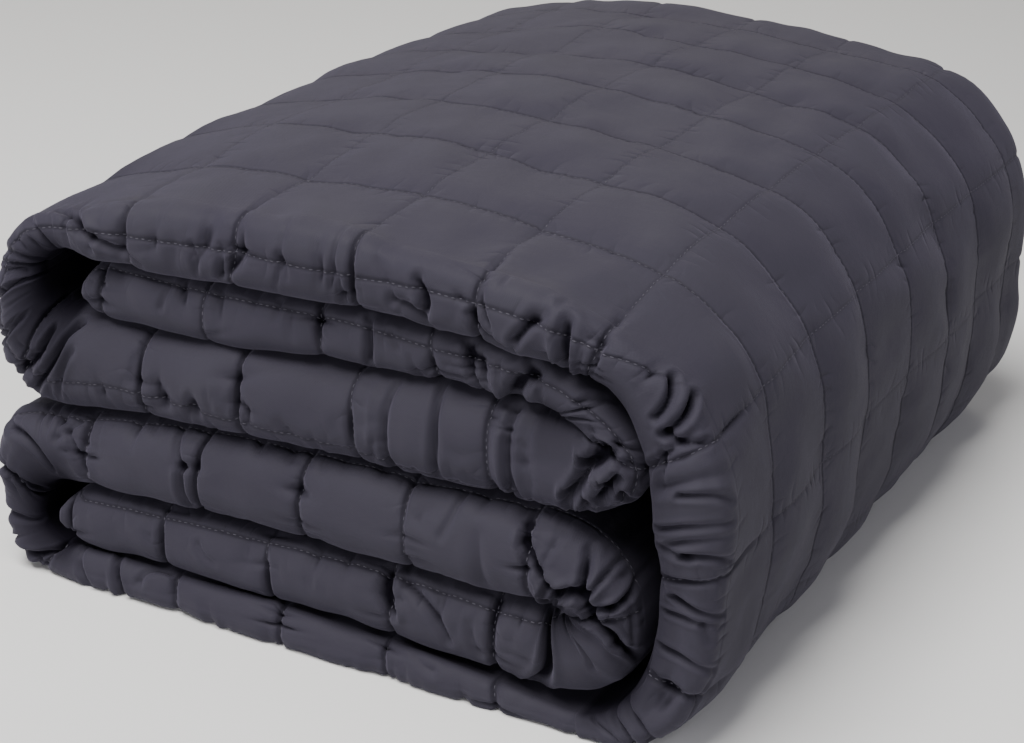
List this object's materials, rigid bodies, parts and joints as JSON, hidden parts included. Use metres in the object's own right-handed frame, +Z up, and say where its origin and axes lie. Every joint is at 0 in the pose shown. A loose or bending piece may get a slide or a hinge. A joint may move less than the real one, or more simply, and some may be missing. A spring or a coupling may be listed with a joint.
{
  "type": "folded weighted blanket",
  "caption": "Dark quilted weighted blanket, folded in three and then back and forth into a thick soft stack that rests on its flat underside.",
  "frame": {"origin": "centre of the underside, on the surface that the stack rests on", "axes": "+Z up; -Y towards the folded edges that face the viewer; +X towards the side where one outer ply wraps the stack"},
  "size_m": [0.308, 0.3756, 0.1781],
  "materials": {
    "cover_cloth": "closely woven matt cloth with a faint sheen, dark charcoal, quilted with slightly lighter thread"
  },
  "bodies": {
    "root": {"blanket": "cover_cloth"}
  },
  "joints": []
}
